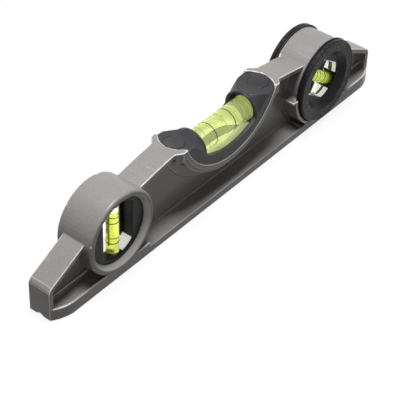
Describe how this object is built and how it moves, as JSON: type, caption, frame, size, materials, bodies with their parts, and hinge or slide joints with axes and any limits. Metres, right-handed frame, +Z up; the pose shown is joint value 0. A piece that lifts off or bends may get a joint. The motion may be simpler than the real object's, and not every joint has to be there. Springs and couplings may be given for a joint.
{
  "type": "pocket spirit level",
  "caption": "Short cast pocket spirit level with an arched rail, a cradled level vial, a fixed plumb vial and a turning angle dial",
  "frame": {"origin": "centre of the length and width, on the plane of the base", "axes": "+X along the length towards the turning dial, -Y the face that shows the vials, +Z up from the base"},
  "size_m": [0.25, 0.0246, 0.0478],
  "materials": {
    "cast_metal": "satin metallic grey coat on a die casting",
    "soft_black": "soft-touch charcoal moulding",
    "hard_black": "satin charcoal moulding",
    "clear_tube": "polished clear acrylic",
    "vial_fluid": "yellow-green fluid",
    "line_black": "printed line",
    "plug_clear": "moulded plug",
    "white": "satin white moulding",
    "magnet": "nickel plate",
    "seal_rubber": "moulded rubber"
  },
  "bodies": {
    "level": {"body_casting": "cast_metal", "base_magnet_left": "magnet", "base_magnet_middle": "magnet", "base_magnet_right": "magnet", "grip_saddle": "soft_black", "level_reflector": "white", "level_vial_tube": "clear_tube", "level_vial_fluid": "vial_fluid", "level_vial_rings": "line_black", "level_vial_plug": "plug_clear", "plumb_shell_front": "hard_black", "plumb_shell_rear": "hard_black", "plumb_diffuser": "white", "plumb_vial_tube": "clear_tube", "plumb_vial_fluid": "vial_fluid", "plumb_vial_rings": "line_black", "plumb_vial_plug": "plug_clear"},
    "dial": {"dial_front": "hard_black", "dial_rear": "hard_black", "dial_friction_ring": "seal_rubber", "angle_diffuser": "white", "angle_vial_tube": "clear_tube", "angle_vial_fluid": "vial_fluid", "angle_vial_rings": "line_black", "angle_vial_plug": "plug_clear"}
  },
  "joints": [
    {"name": "dial_turn", "type": "hinge", "parent": "level", "child": "dial", "pos_m": [0.0775, 0, 0.025], "axis": [0, 1, 0], "continuous": true}
  ]
}
